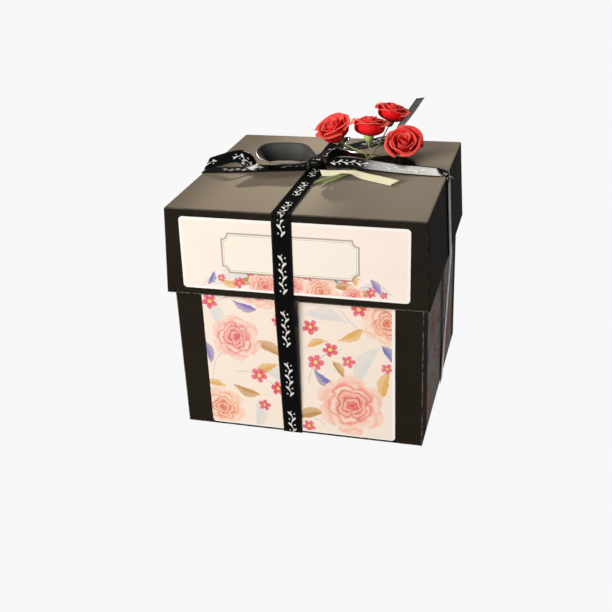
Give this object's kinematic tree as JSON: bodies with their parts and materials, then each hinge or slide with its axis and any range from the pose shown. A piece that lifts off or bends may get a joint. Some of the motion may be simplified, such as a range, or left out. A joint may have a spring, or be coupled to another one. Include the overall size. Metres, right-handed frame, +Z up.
{
  "type": "explosion box",
  "caption": "Square black card gift box whose lift-off lid lets nested layers of walls fall open round a small lidded box; printed labels, satin ribbon with a bow and a spray of paper roses.",
  "frame": {"origin": "centre of the underside, on the table under the middle of the box", "axes": "+Z up, +X to the right of the front label, +Y to the back"},
  "size_m": [0.136, 0.136, 0.1501],
  "materials": {
    "black_card": "uncoated black card with a faint warm sheen",
    "printed_label": "matt printed paper with flowers on cream",
    "printed_mat": "matt printed paper",
    "foam_tape": "white foam",
    "gift_card": "matt card",
    "satin_ribbon": "black satin with white print",
    "rose_paper": "crinkled red paper",
    "stem_wire": "paper-wrapped wire",
    "tie_paper": "pale yellow paper tape"
  },
  "bodies": {
    "base": {"outer_floor": "black_card", "middle_floor": "black_card", "inner_floor": "black_card", "foam_pads_lower": "foam_tape", "foam_pads_upper": "foam_tape", "gift_box_base": "gift_card", "ribbon_under_floor": "satin_ribbon"},
    "lid": {"lid_shell": "black_card", "lid_label_front": "printed_label", "ribbon_band_long": "satin_ribbon", "ribbon_band_left": "satin_ribbon", "ribbon_band_right": "satin_ribbon", "ribbon_knot": "satin_ribbon", "bow_loop_left": "satin_ribbon", "bow_loop_right": "satin_ribbon", "bow_tail_left": "satin_ribbon", "bow_tail_back": "satin_ribbon", "rose_left": "rose_paper", "rose_middle": "rose_paper", "rose_back": "rose_paper", "rose_right": "rose_paper", "rose_stems": "stem_wire", "paper_tie": "tie_paper"},
    "gift_lid": {"gift_box_lid": "gift_card"},
    "outer_front": {"outer_wall_front": "black_card", "outer_label_front": "printed_label", "outer_mat_front": "printed_mat"},
    "outer_right": {"outer_wall_right": "black_card", "outer_label_right": "printed_label", "outer_mat_right": "printed_mat"},
    "outer_back": {"outer_wall_back": "black_card", "outer_label_back": "printed_label", "outer_mat_back": "printed_mat"},
    "outer_left": {"outer_wall_left": "black_card", "outer_label_left": "printed_label", "outer_mat_left": "printed_mat"},
    "middle_front": {"middle_wall_front": "black_card", "middle_pocket_front": "printed_mat"},
    "middle_right": {"middle_wall_right": "black_card", "middle_pocket_right": "printed_mat"},
    "middle_back": {"middle_wall_back": "black_card", "middle_pocket_back": "printed_mat"},
    "middle_left": {"middle_wall_left": "black_card", "middle_pocket_left": "printed_mat"},
    "inner_front": {"inner_wall_front": "black_card", "inner_mat_front": "printed_mat"},
    "inner_right": {"inner_wall_right": "black_card", "inner_mat_right": "printed_mat"},
    "inner_back": {"inner_wall_back": "black_card", "inner_mat_back": "printed_mat"},
    "inner_left": {"inner_wall_left": "black_card", "inner_mat_left": "printed_mat"},
    "ribbon_front": {"ribbon_strand_front": "satin_ribbon"},
    "ribbon_right": {"ribbon_strand_right": "satin_ribbon"},
    "ribbon_back": {"ribbon_strand_back": "satin_ribbon"},
    "ribbon_left": {"ribbon_strand_left": "satin_ribbon"}
  },
  "joints": [
    {"name": "lid_lift", "type": "slide", "parent": "base", "child": "lid", "axis": [0, 0, 1], "range_m": [0, 0.6]},
    {"name": "gift_lid_lift", "type": "slide", "parent": "base", "child": "gift_lid", "axis": [0, 0, 1], "range_m": [0, 0.05]},
    {"name": "outer_front_fold", "type": "hinge", "parent": "base", "child": "outer_front", "pos_m": [0, -0.064, 0.00085], "axis": [1, 0, 0], "range_deg": [0, 87.5]},
    {"name": "outer_right_fold", "type": "hinge", "parent": "base", "child": "outer_right", "pos_m": [0.064, 0, 0.00085], "axis": [0, 1, 0], "range_deg": [0, 87.5]},
    {"name": "outer_back_fold", "type": "hinge", "parent": "base", "child": "outer_back", "pos_m": [0, 0.064, 0.00085], "axis": [-1, 0, 0], "range_deg": [0, 87.5]},
    {"name": "outer_left_fold", "type": "hinge", "parent": "base", "child": "outer_left", "pos_m": [-0.064, 0, 0.00085], "axis": [0, -1, 0], "range_deg": [0, 87.5]},
    {"name": "middle_front_fold", "type": "hinge", "parent": "base", "child": "middle_front", "pos_m": [0, -0.0605, 0.00235], "axis": [1, 0, 0], "range_deg": [0, 87.5]},
    {"name": "middle_right_fold", "type": "hinge", "parent": "base", "child": "middle_right", "pos_m": [0.0605, 0, 0.00235], "axis": [0, 1, 0], "range_deg": [0, 87.5]},
    {"name": "middle_back_fold", "type": "hinge", "parent": "base", "child": "middle_back", "pos_m": [0, 0.0605, 0.00235], "axis": [-1, 0, 0], "range_deg": [0, 87.5]},
    {"name": "middle_left_fold", "type": "hinge", "parent": "base", "child": "middle_left", "pos_m": [-0.0605, 0, 0.00235], "axis": [0, -1, 0], "range_deg": [0, 87.5]},
    {"name": "inner_front_fold", "type": "hinge", "parent": "base", "child": "inner_front", "pos_m": [0, -0.057, 0.00385], "axis": [1, 0, 0], "range_deg": [0, 87.5]},
    {"name": "inner_right_fold", "type": "hinge", "parent": "base", "child": "inner_right", "pos_m": [0.057, 0, 0.00385], "axis": [0, 1, 0], "range_deg": [0, 87.5]},
    {"name": "inner_back_fold", "type": "hinge", "parent": "base", "child": "inner_back", "pos_m": [0, 0.057, 0.00385], "axis": [-1, 0, 0], "range_deg": [0, 87.5]},
    {"name": "inner_left_fold", "type": "hinge", "parent": "base", "child": "inner_left", "pos_m": [-0.057, 0, 0.00385], "axis": [0, -1, 0], "range_deg": [0, 87.5]},
    {"name": "ribbon_front_fall", "type": "hinge", "parent": "base", "child": "ribbon_front", "pos_m": [0, -0.0645, 0.00025], "axis": [1, 0, 0], "range_deg": [0, 87.5]},
    {"name": "ribbon_right_fall", "type": "hinge", "parent": "base", "child": "ribbon_right", "pos_m": [0.0645, 0, 0.00025], "axis": [0, 1, 0], "range_deg": [0, 87.5]},
    {"name": "ribbon_back_fall", "type": "hinge", "parent": "base", "child": "ribbon_back", "pos_m": [0, 0.0645, 0.00025], "axis": [-1, 0, 0], "range_deg": [0, 87.5]},
    {"name": "ribbon_left_fall", "type": "hinge", "parent": "base", "child": "ribbon_left", "pos_m": [-0.0645, 0, 0.00025], "axis": [0, -1, 0], "range_deg": [0, 87.5]}
  ],
  "couplings": [
    {"joint": "outer_front_fold", "follows": "lid_lift", "rad_per_m": 2.545},
    {"joint": "outer_right_fold", "follows": "lid_lift", "rad_per_m": 2.545},
    {"joint": "outer_back_fold", "follows": "lid_lift", "rad_per_m": 2.545},
    {"joint": "outer_left_fold", "follows": "lid_lift", "rad_per_m": 2.545},
    {"joint": "middle_front_fold", "follows": "lid_lift", "rad_per_m": 2.545},
    {"joint": "middle_right_fold", "follows": "lid_lift", "rad_per_m": 2.545},
    {"joint": "middle_back_fold", "follows": "lid_lift", "rad_per_m": 2.545},
    {"joint": "middle_left_fold", "follows": "lid_lift", "rad_per_m": 2.545},
    {"joint": "inner_front_fold", "follows": "lid_lift", "rad_per_m": 2.545},
    {"joint": "inner_right_fold", "follows": "lid_lift", "rad_per_m": 2.545},
    {"joint": "inner_back_fold", "follows": "lid_lift", "rad_per_m": 2.545},
    {"joint": "inner_left_fold", "follows": "lid_lift", "rad_per_m": 2.545},
    {"joint": "ribbon_front_fall", "follows": "lid_lift", "rad_per_m": 2.545},
    {"joint": "ribbon_right_fall", "follows": "lid_lift", "rad_per_m": 2.545},
    {"joint": "ribbon_back_fall", "follows": "lid_lift", "rad_per_m": 2.545},
    {"joint": "ribbon_left_fall", "follows": "lid_lift", "rad_per_m": 2.545}
  ]
}
